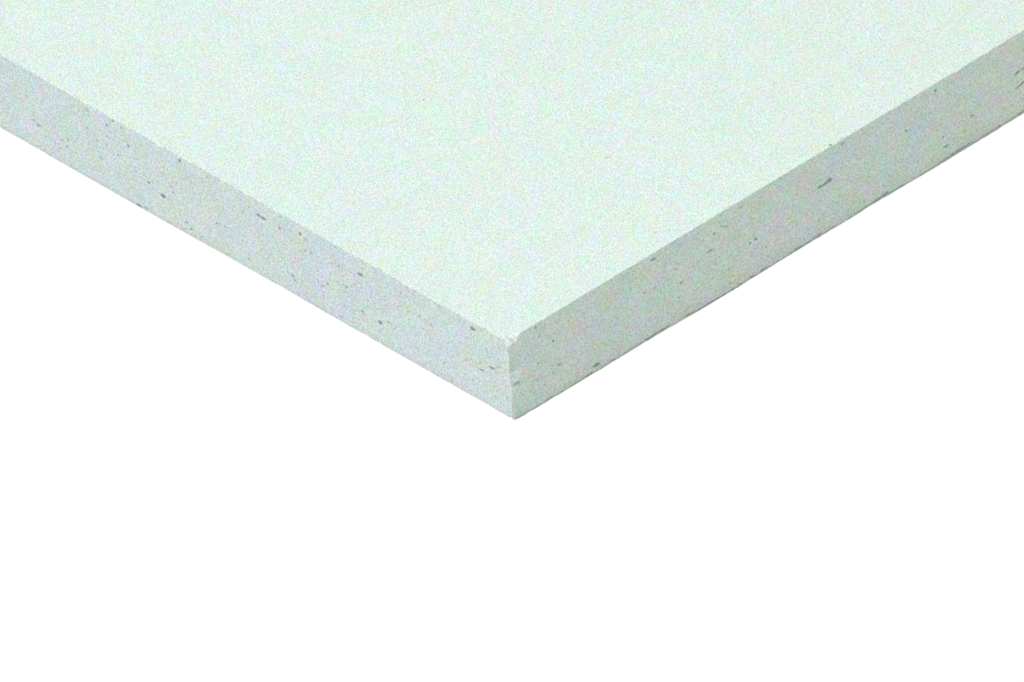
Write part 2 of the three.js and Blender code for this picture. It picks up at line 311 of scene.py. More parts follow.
# What the faces are like. Grain and blotch are a size and an amount, mottle is a size, a roughness and an
# amount for each channel, then comes how much of the painted light towards the ends the face takes, and lay
# is how far its texture is drawn out.
FACE_TEXTURE = {
    "grain": (0.2, 0.78), "blotch": (4.0, 0.09), "mottle": (1.8, 0.72, (0.43, 0.43, 0.48)),
    "roughness": 0.9, "end_light_part": 1.0, "lay": 1.7,
}
SIDE_TEXTURE = {
    "grain": (0.26, 0.98), "blotch": (5.0, 0.18), "mottle": (2.4, 0.68, (0.53, 0.53, 0.59)),
    "roughness": 0.95, "end_light_part": 0.6, "lay": 1.0,
}
END_TEXTURE = {
    "grain": (0.26, 1.12), "blotch": (5.0, 0.2), "mottle": (2.6, 0.68, (0.43, 0.43, 0.58)),
    "roughness": 0.95, "end_light_part": 0.6, "lay": 1.0,
}
# All of them have a wide, weak mottle too, and the same detail in their noises.
WIDE_MOTTLE = (20.0, 0.5, (0.075,) * 3)
GRAIN_DETAIL = 1.0
BLOTCH_DETAIL = 3.0
BLOTCH_ROUGHNESS = 0.8
MOTTLE_DETAIL = 2.0
# How strong the grain's relief is, how deep, and how little gypsum and flecks shine.
BUMP_STRENGTH = 0.5
BUMP_DEPTH = 0.03
MATT_SPECULAR = 0.2
# The textures are turned by this, so that their grid shows on no face.
NOISE_TURN = (0.6, 0.4, 0.7)
# Painted light: the colour is paler towards the sheet's two ends, standing in for a fall of light across the
# faces: how far from an end the paleness begins to fade and has gone, and how much darker the rest of the
# sheet is.
END_LIGHT_REACH = (14.0, 125.0)
END_LIGHT_AMOUNT = (0.03, 0.034, 0.048)
# A texture is drawn out at this angle from +X, in degrees.
LAY_ANGLE = 52.0
# Painted shade: the edges darken towards the back face, standing in for the shade near the floor: by how
# much, and over what height in millimetres.
SIDE_LOW_SHADE = ((0.16, 0.185, 0.19), 1.05)
END_LOW_SHADE = ((0.12, 0.2, 0.18), 0.35)
# Two painted patches at the near corner: where each is from the board's lowest corner, how far it reaches
# along x, y and z, and how dark it is. The sawn end's is painted shade where the broken lower corner turns
# away from the light, and the side's is a painted highlight by the worn corner.
END_CORNER_SHADE = ((0.0, 0.0, 0.0), (1.0, 0.69, 3.8), (0.19, 0.185, 0.235))
SIDE_CORNER_HIGHLIGHT = ((1.1, 0.0, 11.77), (0.58, 1.0, 0.36), (-0.22, -0.2, -0.24))
# Each fades out between these shares of its reach.
CORNER_TONE_EDGE = (0.85, 1.1)
# The four tones of a fleck and of a painted shade flake, each a share of the front face's colour.
FLECK_TONES = (
    ("faint", (0.86, 0.865, 0.845)), ("light", (0.75, 0.76, 0.73)), ("mid", (0.6, 0.61, 0.58)),
    ("dark", (0.4, 0.42, 0.39)),
)
SHADE_FLAKE_TONES = (
    ("faint", (0.87, 0.85, 0.85)), ("light", (0.75, 0.72, 0.72)), ("mid", (0.6, 0.57, 0.57)),
    ("dark", (0.42, 0.4, 0.39)),
)
FLECK_ROUGHNESS = 0.9
# A tone drifts from fleck to fleck: over what distance, in what detail, and by how much in brightness and
# in hue.
DRIFT_SIZE = 1.6
DRIFT_DETAIL = 1.0
SHADE_DRIFT = 0.3
HUE_DRIFT = 0.4

# Camera, aimed so that the lower near corner falls at this place in the picture. Angles are in degrees.
IMAGE_WIDTH, IMAGE_HEIGHT = 1024, 682
CORNER_PIXEL = (516.07, 421.43)
VIEW_AZIMUTH, VIEW_ELEVATION, VIEW_ROLL = -37.944, 35.095, -6.874
FIELD_OF_VIEW = 2.0
CAMERA_DISTANCE = 3711.26
# What the camera sees is between these two distances from it, in metres.
CAMERA_CLIP = (0.1, 100.0)

# Light: how bright the sky is, and for each lamp a vector towards it, as long as it lights a surface that
# faces it, and how wide it is in degrees.
SKY_LEVEL = 0.68
KEY_LEVEL = (-0.332, -0.175, 0.312)
KEY_ANGLE = 40.0
FILL_LEVEL = (-0.11, 0.0, 0.01)
FILL_COLOUR = (0.35, 0.36, 1.0)
FILL_ANGLE = 60.0
# The floor: what it reflects, how much it glows where it is seen directly, and, in metres, how wide it is
# and how far it lies below the sheet.
FLOOR_REFLECTANCE = 0.2
FLOOR_GLOW = 0.84
FLOOR_SIDE = 60.0
FLOOR_DROP = 0.00005


# ---------------------------------------------------------------- outline

def outline_parts():
    """The outline's sides and corner arcs in order, each as (length, function of distance along it)."""
    x, y, r = LENGTH / 2, WIDTH / 2, CORNER_RADIUS
    corners = ((x - r, -y + r), (x - r, y - r), (-x + r, y - r), (-x + r, -y + r))
    runs = (LENGTH - 2 * r, WIDTH - 2 * r, LENGTH - 2 * r, WIDTH - 2 * r)
    parts = []
    for index, ((cx, cy), run) in enumerate(zip(corners, runs)):
        heading = index * math.pi / 2
        parts.append((run, straight_run(cx, cy, heading, run, r)))
        parts.append((r * math.pi / 2, corner_arc(cx, cy, heading, r)))
    return parts


def straight_run(cx, cy, heading, run, r):
    """A side that ends beside the corner centred at (cx, cy), as a function giving x, y and the normal."""
    along = (math.cos(heading), math.sin(heading))
    out = (math.sin(heading), -math.cos(heading))

    def at(distance):
        back = run - distance
        return cx + out[0] * r - along[0] * back, cy + out[1] * r - along[1] * back, out[0], out[1]

    return at


def corner_arc(cx, cy, heading, r):
    """A quarter round about (cx, cy), as a function giving x, y and the normal."""
    def at(distance):
        angle = heading - math.pi / 2 + distance / r
        nx, ny = math.cos(angle), math.sin(angle)
        return cx + r * nx, cy + r * ny, nx, ny

    return at


def column_distances(perimeter, corner_distances):
    """Where the columns stand round the outline: close together at the corners and by the near corner."""
    s = np.linspace(0, perimeter, STEP_SAMPLES)
    from_near = np.minimum(s, perimeter - s)
    step = np.maximum(NEAR_STEP, NEAR_STEP + STEP_GROWTH * (from_near - NEAR_REACH))
    for corner in corner_distances:
        apart = np.abs(s - corner)
        apart = np.minimum(apart, perimeter - apart)
        step = np.minimum(step, CORNER_STEP + STEP_GROWTH * np.maximum(apart - 2 * CORNER_RADIUS, 0))
    step = np.minimum(step, FAR_STEP)
    density = 1 / step
    passed = np.concatenate(([0], np.cumsum(0.5 * (density[1:] + density[:-1]) * np.diff(s))))
    wanted = np.linspace(0, passed[-1], COLUMN_COUNT, endpoint=False)
    return np.interp(wanted, passed, s)


def make_columns():
    """Each column's x, y and outward normal, starting just past the near corner and going anticlockwise."""
    parts = outline_parts()
    starts = np.concatenate(([0], np.cumsum([length for length, _ in parts])))
    middles = [(starts[i] + starts[i + 1]) / 2 for i in range(1, len(parts), 2)]
    rows = []
    for s in column_distances(starts[-1], middles):
        index = min(int(np.searchsorted(starts, s, side="right")) - 1, len(parts) - 1)
        rows.append(parts[index][1](s - starts[index]))
    return np.array(rows)


# ---------------------------------------------------------------- edge shape

def ripple(x, y, z, wavelength, salt):
    """Smooth noise, about -1 to 1, at a point in millimetres."""
    return noise.noise(Vector((x, y, z)) / wavelength + Vector((salt, -salt, 2 * salt)))


def lifted(signal):
    """A signal of -1 to 1 as one of 0 to 1."""
    return 0.5 + 0.5 * signal


def edge_inset(x, y, z):
    """How far inside the solid's outline the edge face lies at a point."""
    wave = lifted(ripple(x, y, SAW_WAVE_RISE * z, *SAW_WAVE_NOISE))
    fine = lifted(ripple(x, y, z, *FINE_WAVE_NOISE))
    return EDGE_INSET + SAW_WAVE * wave + FINE_WAVE_SHARE * SAW_WAVE * fine


def chipped(size, chips, distance):
    """An arris's height and reach, where the deepest chip at this distance may make them larger."""
    height, reach = size
    for centre, length, chip_height, chip_reach in chips:
        offset = (distance - centre) / (length / 2)
        if abs(offset) < 1:
            swell = math.sqrt(1 - offset * offset)
            height = max(height, chip_height * swell)
            reach = max(reach, chip_reach * swell)
    return height, reach


def blended(nx, side, end):
    """A side's and an end's sizes, blended round the corner between them by the normal's part along X."""
    share = nx ** 2
    return [a + (b - a) * share for a, b in zip(side, end)]


def uneven(size, x, y, noises):
    """An arris's height and reach, varied along it."""
    coarse, fine = (ripple(x, y, 0, *each) for each in noises)
    height = size[0] * (1 + ARRIS_SPREAD * (coarse + fine))
    reach = size[1] * (1 + ARRIS_SPREAD * (coarse - fine))
    return max(height, LEAST_ARRIS), max(reach, LEAST_ARRIS)


def back_arris(column):
    """The back arris at one column: (height, reach, roundness)."""
    x, y, nx, ny = column
    height, reach, roundness = blended(nx, SIDE_BACK_ARRIS, END_BACK_ARRIS)
    size = uneven((height, reach), x, y, BACK_ARRIS_NOISES)
    distance = BACK_ARRIS_HAND_PLACED
    for across, distance_along, wear, chips in (
        (ny, x - BOARD_LOW.x, SIDE_BACK_WEAR, SIDE_BACK_CHIPS),
        (nx, y - BOARD_LOW.y, END_BACK_WEAR, END_BACK_CHIPS),
    ):
        if across < -MOSTLY:
            distance = distance_along
            worn = np.interp(distance, *zip(*wear))
            size = chipped((worn * size[0], worn * size[1]), chips, distance)
    if distance >= BACK_ARRIS_HAND_PLACED:
        coarse, fine = ripple(x, y, 0, *BREAK_OUT_NOISE), ripple(x, y, 0, *FINE_BREAK_OUT_NOISE)
        broken = max(0.0, coarse + FINE_BREAK_OUT_SHARE * fine - BREAK_OUT_LEVEL)
        size = tuple(plain + growth * broken for plain, growth in zip(size, BREAK_OUT_GROWTH))
    return (*size, roundness)


def front_arris(column):
    """The front arris at one column: (height, reach, roundness)."""
    x, y, nx, ny = column
    height, reach, roundness = blended(nx, SIDE_FRONT_ARRIS, END_FRONT_ARRIS)
    size = uneven((height, reach), x, y, FRONT_ARRIS_NOISES)
    ragged = END_RAGGEDNESS * nx * nx
    size = tuple(
        plain + ragged * max(0.0, ripple(x, y, 0, *each)) for plain, each in zip(size, RAGGED_NOISES)
    )
    if ny < -MOSTLY:
        size = chipped(size, SIDE_FRONT_CHIPS, x - BOARD_LOW.x)
    if nx < -MOSTLY:
        size = chipped(size, END_FRONT_CHIPS, y - BOARD_LOW.y)
    return (*size, roundness)


def arris_curve(start, end, corner, roundness):
    """The points between an arris's two ends."""
    control = (start + end) / 2 + (corner - (start + end) / 2) * roundness
    points = []
    for step in range(1, ARRIS_STEPS):
        t = step / ARRIS_STEPS
        points.append((1 - t) ** 2 * start + 2 * t * (1 - t) * control + t * t * end)
    return points


def profile(column):
    """One column's section from the back face to the front face, as (inset, height) points."""
    x, y = column[:2]
    back_height, back_reach, back_round = back_arris(column)
    front_height, front_reach, front_round = front_arris(column)

    bottom, top = FACE_INSET, THICKNESS - FACE_INSET
    low = np.array((edge_inset(x, y, back_height), bottom + back_height))
    high = np.array((edge_inset(x, y, top - front_height), top - front_height))
    under = np.array((low[0] + back_reach, bottom))
    over = np.array((high[0] + front_reach, top))

    points = [under]
    points += arris_curve(under, low, np.array((low[0], bottom)), back_round)
    points.append(low)
    for share in EDGE_ROWS:
        z = low[1] + share * (high[1] - low[1])
        points.append(np.array((edge_inset(x, y, z), z)))
    points.append(high)
    points += arris_curve(high, over, np.array((high[0], top)), front_round)
    points.append(over)
    return points


def worn_facet():
    """The worn corner's facet, as a point on it and its outward normal."""
    along_side, along_end, along_upright = WORN_CORNER
    corner = Vector((BOARD_LOW.x, BOARD_LOW.y, THICKNESS))
    on_side = corner + Vector((along_side, 0, 0))
    on_end = corner + Vector((0, along_end, 0))
    on_upright = corner - Vector((0, 0, along_upright))
    normal = (on_end - on_side).cross(on_upright - on_side).normalized()
    return on_upright, normal if normal.z > 0 else -normal


def wear_down(point, facet_point, facet_normal):
    """The point, pushed down to the worn facet where it stands above it."""
    above = (point - facet_point).dot(facet_normal)
    above += WEAR_ROUGHNESS * ripple(*point, *WEAR_NOISE)
    return point - facet_normal * above if above > 0 else point


def dented(point):
    """The point, moved with the dents beside the near upright arris."""
    moved = Vector(point)
    across, along = moved.x - BOARD_LOW.x, moved.y - BOARD_LOW.y
    for axis, height, tall, wide, depth in CORNER_DENTS:
        apart = ((point[2] - height) / tall) ** 2 + (across ** 2 + along ** 2) / wide ** 2
        setattr(moved, axis, getattr(moved, axis) + depth * math.exp(-apart))
    return moved


# ---------------------------------------------------------------- meshes

def make_piece(name, vertices, faces, materials, material_of_face):
    """A mesh object from vertices in millimetres."""
    mesh = bpy.data.meshes.new(name)
    mesh.from_pydata([tuple(c * MM for c in v) for v in vertices], [], faces)
    for material in materials:
        mesh.materials.append(material)
    mesh.polygons.foreach_set("material_index", material_of_face)
    mesh.update()
    piece = bpy.data.objects.new(name, mesh)
    bpy.context.scene.collection.objects.link(piece)
    return piece


def ring_points(columns, inset, z):
    """A ring on a large face: the outline shrunk towards the centre by the inset."""
    x = columns[:, 0] * (LENGTH / 2 - inset) / (LENGTH / 2)
    y = columns[:, 1] * (WIDTH / 2 - inset) / (WIDTH / 2)
    return [(a, b, z) for a, b in zip(x, y)]


def join_equal(ring_a, ring_b):
    """Quads between two rings of as many vertices."""
    n = len(ring_a)
    return [(ring_a[i], ring_a[(i + 1) % n], ring_b[(i + 1) % n], ring_b[i]) for i in range(n)]


def join_halved(outer, inner):
    """Triangles between a ring and one of half as many vertices."""
    n = len(inner)
    faces = []
    for i in range(n):
        a, b, c = outer[2 * i], outer[2 * i + 1], outer[(2 * i + 2) % len(outer)]
        p, q = inner[i], inner[(i + 1) % n]
        faces += [(a, b, p), (b, q, p), (b, c, q)]
    return faces


def large_face(columns, edge_ring, z, add_ring):
    """The faces from an arris in to the middle of a large face."""
    faces, outer = [], edge_ring
    for inset in FULL_RINGS:
        inner = add_ring(ring_points(columns, inset, z))
        faces += join_equal(outer, inner)
        outer = inner
    kept = columns
    for inset in HALVING_RINGS:
        kept = kept[::2]
        inner = add_ring(ring_points(kept, inset, z))
        faces += join_halved(outer, inner)
        outer = inner
    faces.append(tuple(outer))
    return faces


def build_sheet(face_material, side_material, end_material, shaded_arris_material):
    """The whole visible sheet: rough edges all round, and two large faces."""
    columns = make_columns()
    on_side = [abs(ny) > MOSTLY for _, _, _, ny in columns]
    sections = [profile(column) for column in columns]
    facet = worn_facet()
    vertices, faces, materials = [], [], []
    face_slot, side_slot, end_slot, shaded_arris_slot = range(4)

    def add_ring(points):
        first = len(vertices)
        vertices.extend(points)
        return list(range(first, len(vertices)))

    def add_faces(new_faces, material):
        faces.extend(new_faces)
        materials.extend([material] * len(new_faces))

    rings = []
    for row in range(len(sections[0])):
        ring = []
        for (x, y, nx, ny), section in zip(columns, sections):
            inset, z = section[row]
            point = Vector((x - nx * inset, y - ny * inset, z))
            ring.append(tuple(dented(wear_down(point, *facet))))
        rings.append(add_ring(ring))
    for row, (low, high) in enumerate(zip(rings, rings[1:])):
        # Off the sides, the front arris takes the darker copy of the gypsum, which is painted shade.
        is_front_arris = row >= len(rings) - 1 - ARRIS_STEPS
        off_side_slot = shaded_arris_slot if is_front_arris else end_slot
        for quad, side in zip(join_equal(low, high), on_side):
            add_faces([quad], side_slot if side else off_side_slot)

    front = large_face(columns, rings[-1], THICKNESS - FACE_INSET, add_ring)
    back = large_face(columns, rings[0], FACE_INSET, add_ring)
    add_faces(front, face_slot)
    add_faces([tuple(reversed(face)) for face in back], face_slot)
    all_materials = (face_material, side_material, end_material, shaded_arris_material)
    return make_piece("fibreboard_sheet", vertices, faces, all_materials, materials)


# ---------------------------------------------------------------- flecks

def fleck(centre, along, up, out, length, height, rng):
    """One fleck's vertices and faces: a ragged flake with a darker core and its root in the board."""
    vertices = []
    reaches = [rng.uniform(*FLECK_RAGGEDNESS) for _ in range(FLECK_CORNERS)]
    for scale, proud in ((1.0, RIM_PROUD), (CORE_SIZE, CORE_PROUD)):
        for corner, reach in enumerate(reaches):
            angle = 2 * math.pi * corner / FLECK_CORNERS
            point = (
                centre + out * proud
                + along * (length / 2 * scale * reach * math.cos(angle))
                + up * (height / 2 * scale * reach * math.sin(angle))
            )
            vertices.append(Vector(
                min(max(value, low + LEAST_INSET), high - LEAST_INSET)
                for value, low, high in zip(dented(point), BOARD_LOW, BOARD_HIGH)
            ))
    vertices.append(dented(centre - out * FLECK_ROOT))

    n, root = FLECK_CORNERS, 2 * FLECK_CORNERS
    core = [tuple(range(n, 2 * n))]
    rim = [(i, (i + 1) % n, n + (i + 1) % n, n + i) for i in range(n)]
    rim += [((i + 1) % n, i, root) for i in range(n)]
    return vertices, core, rim


def surface_frames():
    """Each surface's start corner, the two directions that flecks are placed along, and outward normal."""
    low, high = BOARD_LOW, BOARD_HIGH
    x, y, z = Vector((1, 0, 0)), Vector((0, 1, 0)), Vector((0, 0, 1))
    return {
        "near_side": (Vector((low.x, low.y, 0)), x, z, -y),
        "near_end": (Vector((low.x, low.y, 0)), y, z, -x),
        "far_side": (Vector((low.x, high.y, 0)), x, z, y),
        "far_end": (Vector((high.x, low.y, 0)), y, z, x),
        "front_face": (Vector((low.x, low.y, THICKNESS)), x, y, z),
        "back_face": (Vector((low.x, low.y, 0)), x, y, -z),
    }


def scattered(count, across, up, stretch, rng):
    """Random flecks in a rectangle, each range given as (from, to)."""
    rows = []
    for _ in range(count):
        sizes = SMALL_SIZES if rng.random() < SMALL_SHARE else LARGE_SIZES
        size = rng.uniform(*sizes)
        darkness = BASE_DARKNESS + CHANCE_DARKNESS * rng.random() + DARKNESS_PER_MM * (size - PLAIN_SIZE)
        rows.append((
            rng.uniform(*across), rng.uniform(*up), size * rng.uniform(*stretch), SCATTERED_THICKNESS * size,
            rng.uniform(*SCATTERED_TILT), min(1.0, darkness),
        ))
    return rows


def lay_shade_flakes(spans, rng):
    """Painted shade: short dark flakes side by side along a back arris, standing in for the shade line under
    it.
    """
    rows = []
    for start, stop, lowest, highest, darkness in spans:
        place = start
        while place < stop:
            length = min(rng.uniform(*SHADE_PIECE_LENGTH), stop - place + SHADE_PIECE_PAST_END)
            height = (highest - lowest) * rng.uniform(*SHADE_PIECE_HEIGHT)
            up = lowest + height / 2
            shade = darkness + rng.uniform(-SHADE_PIECE_SPREAD, SHADE_PIECE_SPREAD)
            rows.append((place + length / 2, up, SHADE_PIECE_OVERLAP * length, height, 0, shade))
            place += length
    return rows


def random_spans(start, stop, rng):
    """Spans of painted shade flakes along the rest of a side."""
    spans, place = [], start
    while True:
        place += rng.uniform(*SHADE_FLAKE_GAP)
        length = rng.uniform(*SHADE_FLAKE_LENGTH)
        if place + length > stop - SHADE_FLAKE_MARGIN:
            return spans
        highest = SHADE_FLAKE_START + rng.uniform(*SHADE_FLAKE_HEIGHT)
        spans.append((place, place + length, SHADE_FLAKE_START, highest, SHADE_FLAKE_DARKNESS))
        place += length


def edge_fleck_rows(rng):
    """The flecks of each edge face."""
    rows = {}
    for name, placed, start, stop, (per_cm2, stretch) in (
        ("near_side", SIDE_FLECKS, SIDE_HAND_PLACED, LENGTH, SIDE_SCATTER),
        ("near_end", END_FLECKS, END_HAND_PLACED, WIDTH, END_SCATTER),
        ("far_side", (), 0.0, LENGTH, SIDE_SCATTER),
        ("far_end", (), 0.0, WIDTH, END_SCATTER),
    ):
        count = round((stop - start) * THICKNESS / MM2_PER_CM2 * per_cm2)
        across, up = (start, stop - EDGE_MARGIN), (EDGE_MARGIN, THICKNESS - EDGE_MARGIN)
        rows[name] = list(placed) + scattered(count, across, up, stretch, rng)
    return rows


def shade_flake_rows(rng):
    """The painted shade flakes of the two sides' back arrises."""
    near = lay_shade_flakes(SHADE_FLAKE_SPANS, rng) + lay_shade_flakes(random_spans(BACK_ARRIS_HAND_PLACED, LENGTH, rng), rng)
    return {"near_side": near, "far_side": lay_shade_flakes(random_spans(SHADE_FLAKE_MARGIN, LENGTH, rng), rng)}


def face_fleck_rows(rng):
    """The flecks of the two large faces."""
    per_cm2, stretch = FACE_SCATTER
    count = round(LENGTH * WIDTH / MM2_PER_CM2 * per_cm2)
    across, up = (FACE_MARGIN, LENGTH - FACE_MARGIN), (FACE_MARGIN, WIDTH - FACE_MARGIN)
    front = [
        row for row in scattered(count, across, up, stretch, rng)
        if row[0] > FACE_HAND_PLACED or row[1] > FACE_HAND_PLACED
    ]
    back = scattered(count, across, up, stretch, rng)
    return {"front_face": list(FACE_FLECKS) + front, "back_face": back}


def build_flecks(name, rows, tones, rng):
    """The given flecks of each named surface, joined into one piece."""
    frames = surface_frames()
    vertices, faces, materials = [], [], []
    for surface, flecks in rows.items():
        start, along, up, out = frames[surface]
        mirrored = along.cross(up).dot(out) < 0
        for distance, height, length, thickness, tilt, darkness in flecks:
            place = start + along * distance + up * height
            inset = FACE_INSET if abs(out.z) > MOSTLY else edge_inset(*place)
            angle = math.radians(tilt)
            turned = along * math.cos(angle) + up * math.sin(angle)
            turned_up = up * math.cos(angle) - along * math.sin(angle)
            made, core, rim = fleck(place - out * inset, turned, turned_up, out, length, thickness, rng)
            tone = 1 + sum(darkness >= step for step in TONE_STEPS)
            first = len(vertices)
            vertices += made
            for group, shade in ((core, tone), (rim, tone - 1)):
                for face in group:
                    face = tuple(reversed(face)) if mirrored else face
                    faces.append(tuple(first + i for i in face))
                    materials.append(shade)
    return make_piece(name, vertices, faces, tones, materials)


# ---------------------------------------------------------------- materials

def new_material(name):
    """A material with only its Principled shader and output, as (material, node tree, shader)."""
    material = bpy.data.materials.new(name)
    material.use_nodes = True
    tree = material.node_tree
    return material, tree, tree.nodes["Principled BSDF"]


def put(tree, kind, inputs=None, **settings):
    """A new node with its settings and inputs, where an input is a value or another node's socket."""
    node = tree.nodes.new(kind)
    for key, value in settings.items():
        setattr(node, key, value)
    for key, value in (inputs or {}).items():
        if isinstance(value, bpy.types.NodeSocket):
            tree.links.new(value, node.inputs[key])
        else:
            node.inputs[key].default_value = value
    return node


def vector_math(tree, operation, *values):
    """A vector sum, product or the like of up to three values, as a node."""
    return put(tree, "ShaderNodeVectorMath", dict(enumerate(values)), operation=operation)


def noise_node(tree, place, cell_mm, detail, roughness=0.5):
    """A noise texture whose largest cells are this many millimetres across."""
    return put(
        tree, "ShaderNodeTexNoise",
        {"Vector": place, "Scale": 1 / (cell_mm * MM), "Detail": detail, "Roughness": roughness},
    )


def varied(tree, signal, amount):
    """1 plus the amount times how far a 0 to 1 signal is from its middle, channel by channel."""
    centred = vector_math(tree, "SUBTRACT", signal, MIDDLE)
    return vector_math(tree, "MULTIPLY_ADD", centred.outputs[0], (amount,) * 3, WHITE).outputs[0]


def tinted(tree, signal, amount):
    """The same, less its brightness, so that only the hue varies."""
    centred = vector_math(tree, "SUBTRACT", signal, MIDDLE)
    brightness = vector_math(tree, "DOT_PRODUCT", centred.outputs[0], LUMINANCE)
    hue = vector_math(tree, "SUBTRACT", centred.outputs[0], brightness.outputs["Value"])
    return vector_math(tree, "MULTIPLY_ADD", hue.outputs[0], amount, WHITE).outputs[0]


def mottled(tree, place, size, roughness, amount):
    """A tint that varies from place to place, as a share of the colour."""
    colour = noise_node(tree, place, size, MOTTLE_DETAIL, roughness).outputs["Color"]
    return tinted(tree, colour, amount)


def product(tree, first, *others):
    """Vectors or colours, multiplied channel by channel."""
    for other in others:
        first = vector_math(tree, "MULTIPLY", first, other).outputs[0]
    return first


def fading(tree, signal, whole, gone):
    """1 where a signal is up to one level and 0 where it is past another, with a smooth fall between."""
    return put(
        tree, "ShaderNodeMapRange",
        {"Value": signal, "From Min": whole, "From Max": gone, "To Min": 1, "To Max": 0},
        interpolation_type="SMOOTHSTEP",
    ).outputs[0]


def darkened(tree, share, amount):
    """1 less this share of the amount, channel by channel."""
    taken = vector_math(tree, "MULTIPLY", share, amount).outputs[0]
    return vector_math(tree, "SUBTRACT", WHITE, taken).outputs[0]


def painted_end_light(tree, place, part):
    """Painted light: paler towards the two ends, standing in for a fall of light across the faces, by this
    part of the whole paleness, as a share of the colour.
    """
    along = put(tree, "ShaderNodeSeparateXYZ", {"Vector": place}).outputs["X"]
    from_middle = put(tree, "ShaderNodeMath", {0: along}, operation="ABSOLUTE").outputs[0]
    pale, dark = ((LENGTH / 2 - distance) * MM for distance in END_LIGHT_REACH)
    away = fading(tree, from_middle, dark, pale)
    return darkened(tree, away, tuple(part * amount for amount in END_LIGHT_AMOUNT))


def painted_low_shade(tree, place, amount, height):
    """Painted shade: darker towards the back face, standing in for the shade near the floor, as a share of
    the colour.
    """
    up = put(tree, "ShaderNodeSeparateXYZ", {"Vector": place}).outputs["Z"]
    falls = put(tree, "ShaderNodeMath", {0: up, 1: -1 / (height * MM)}, operation="MULTIPLY")
    share = put(tree, "ShaderNodeMath", {0: falls.outputs[0]}, operation="EXPONENT").outputs[0]
    return darkened(tree, share, amount)


def painted_corner_tone(tree, place, centre, reach, amount):
    """Painted shading at the near corner, darker or lighter by the amount's sign, as a share of the colour.
    """
    middle = tuple((BOARD_LOW + Vector(centre)) * MM)
    from_middle = vector_math(tree, "SUBTRACT", place, middle).outputs[0]
    shrink = tuple(1 / (size * MM) for size in reach)
    apart = vector_math(tree, "LENGTH", vector_math(tree, "MULTIPLY", from_middle, shrink).outputs[0])
    share = fading(tree, apart.outputs["Value"], *CORNER_TONE_EDGE)
    return darkened(tree, share, amount)


def gypsum_material(name, base, grain, blotch, mottle, roughness, end_light_part, lay, low_shade=None, corner_light_shade=None):
    """Pale grey-green gypsum with fibre in it, from its own colour and what the face is like, with painted
    light towards the ends and, where asked, painted shade towards the back face and painted shading at the
    near corner.
    """
    material, tree, shader = new_material(name)
    place = put(tree, "ShaderNodeTexCoord").outputs["Object"]
    laid = put(
        tree, "ShaderNodeMapping",
        {"Vector": place, "Rotation": (0, 0, math.radians(LAY_ANGLE)), "Scale": (lay, 1, 1)},
        vector_type="TEXTURE",
    )
    turned = put(
        tree, "ShaderNodeVectorRotate", {"Vector": laid.outputs[0], "Rotation": NOISE_TURN},
        rotation_type="EULER_XYZ",
    ).outputs[0]
    grain_size, grain_amount = grain
    blotch_size, blotch_amount = blotch
    fine = noise_node(tree, turned, grain_size, GRAIN_DETAIL).outputs["Fac"]
    blotches = noise_node(tree, turned, blotch_size, BLOTCH_DETAIL, BLOTCH_ROUGHNESS).outputs["Fac"]
    colour = product(
        tree, base,
        varied(tree, fine, grain_amount),
        varied(tree, blotches, blotch_amount),
        mottled(tree, turned, *mottle),
        mottled(tree, turned, *WIDE_MOTTLE),
        painted_end_light(tree, place, end_light_part),
    )
    if low_shade:
        colour = product(tree, colour, painted_low_shade(tree, place, *low_shade))
    if corner_light_shade:
        colour = product(tree, colour, painted_corner_tone(tree, place, *corner_light_shade))
    tree.links.new(colour, shader.inputs["Base Color"])

    relief = {"Strength": BUMP_STRENGTH, "Distance": BUMP_DEPTH * MM, "Height": fine}
    bump = put(tree, "ShaderNodeBump", relief)
    tree.links.new(bump.outputs[0], shader.inputs["Normal"])
    shader.inputs["Roughness"].default_value = roughness
    shader.inputs["Specular IOR Level"].default_value = MATT_SPECULAR
    return material


def fleck_material(name, share):
    """Paper fleck, whose tone is this share of the front face's and drifts from fleck to fleck."""
    material, tree, shader = new_material(name)
    place = put(tree, "ShaderNodeTexCoord").outputs["Object"]
    drift = noise_node(tree, place, DRIFT_SIZE, DRIFT_DETAIL)
    tone = tuple(a * b for a, b in zip(GYPSUM, share))
    colour = product(
        tree, tone,
        varied(tree, drift.outputs["Fac"], SHADE_DRIFT),
        tinted(tree, drift.outputs["Color"], (HUE_DRIFT,) * 3),
    )
    tree.links.new(colour, shader.inputs["Base Color"])
    shader.inputs["Roughness"].default_value = FLECK_ROUGHNESS
    shader.inputs["Specular IOR Level"].default_value = MATT_SPECULAR
    return material


# ---------------------------------------------------------------- stage

def seen_directly(tree):
    """1 for camera, glossy and transmission rays, and 0 for the light that a surface scatters."""
    path = put(tree, "ShaderNodeLightPath")
    first = put(
        tree, "ShaderNodeMath",
        {0: path.outputs["Is Camera Ray"], 1: path.outputs["Is Glossy Ray"]}, operation="MAXIMUM",
    )
    return put(
        tree, "ShaderNodeMath",
        {0: first.outputs[0], 1: path.outputs["Is Transmission Ray"]}, operation="MAXIMUM",
    ).outputs[0]


def make_world():
    """Even soft light from all round, which looks white itself."""
    world = bpy.data.worlds.new("studio")
    bpy.context.scene.world = world
    world.use_nodes = True
    tree = world.node_tree
    background = tree.nodes["Background"]
    background.inputs["Color"].default_value = (*WHITE, 1)
    level = put(
        tree, "ShaderNodeMapRange",
        {"Value": seen_directly(tree), "To Min": SKY_LEVEL, "To Max": 1.0},
    )
    tree.links.new(level.outputs[0], background.inputs["Strength"])


def make_lamp(name, level, colour, angle):
    """A broad soft lamp, far away, whose level points towards it and is how much it lights."""
    lamp = bpy.data.lights.new(name, "SUN")
    lamp.energy = math.pi * Vector(level).length
    lamp.color = colour
    lamp.angle = math.radians(angle)
    holder = bpy.data.objects.new(name, lamp)
    holder.rotation_mode = "QUATERNION"
    holder.rotation_quaternion = Vector(level).to_track_quat("Z", "Y")
    bpy.context.scene.collection.objects.link(holder)


